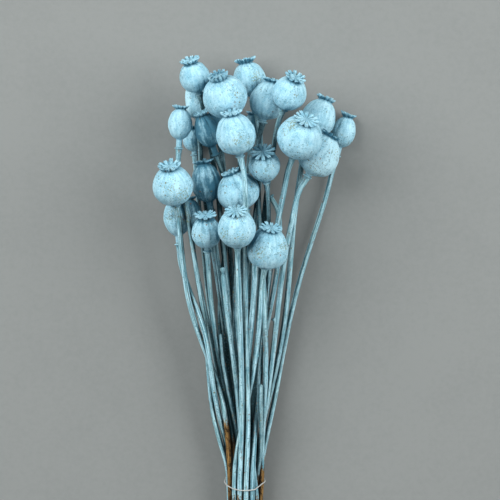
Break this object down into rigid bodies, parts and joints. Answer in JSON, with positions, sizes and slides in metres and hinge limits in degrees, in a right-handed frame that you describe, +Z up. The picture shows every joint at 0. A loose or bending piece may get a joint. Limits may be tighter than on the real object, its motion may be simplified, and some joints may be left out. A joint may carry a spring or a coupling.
{
  "type": "poppy seed head bunch",
  "caption": "Tied bunch of dried poppy seed heads painted matte light blue, lying down: ribbed capsules with star-shaped crowns on long stems that a thin elastic tie gathers near their ends.",
  "frame": {"origin": "middle of the bounding box's underside, on the surface that the bunch lies on", "axes": "+Z up from the table, +Y along the stems towards the seed heads, +X across the bunch"},
  "size_m": [0.1738, 0.4664, 0.1146],
  "materials": {
    "painted_poppy": "matte",
    "elastic": "satin"
  },
  "bodies": {
    "root": {"poppy_01": "painted_poppy", "poppy_02": "painted_poppy", "poppy_03": "painted_poppy", "poppy_04": "painted_poppy", "poppy_05": "painted_poppy", "poppy_06": "painted_poppy", "poppy_07": "painted_poppy", "poppy_08": "painted_poppy", "poppy_09": "painted_poppy", "poppy_10": "painted_poppy", "poppy_11": "painted_poppy", "poppy_12": "painted_poppy", "poppy_13": "painted_poppy", "poppy_14": "painted_poppy", "poppy_15": "painted_poppy", "poppy_16": "painted_poppy", "poppy_17": "painted_poppy", "poppy_18": "painted_poppy", "poppy_19": "painted_poppy", "poppy_20": "painted_poppy", "poppy_21": "painted_poppy", "poppy_22": "painted_poppy", "poppy_23": "painted_poppy", "poppy_24": "painted_poppy", "poppy_25": "painted_poppy", "bare_stem_1": "painted_poppy", "bare_stem_2": "painted_poppy", "bare_stem_3": "painted_poppy", "bare_stem_4": "painted_poppy", "tie": "elastic"}
  },
  "joints": []
}
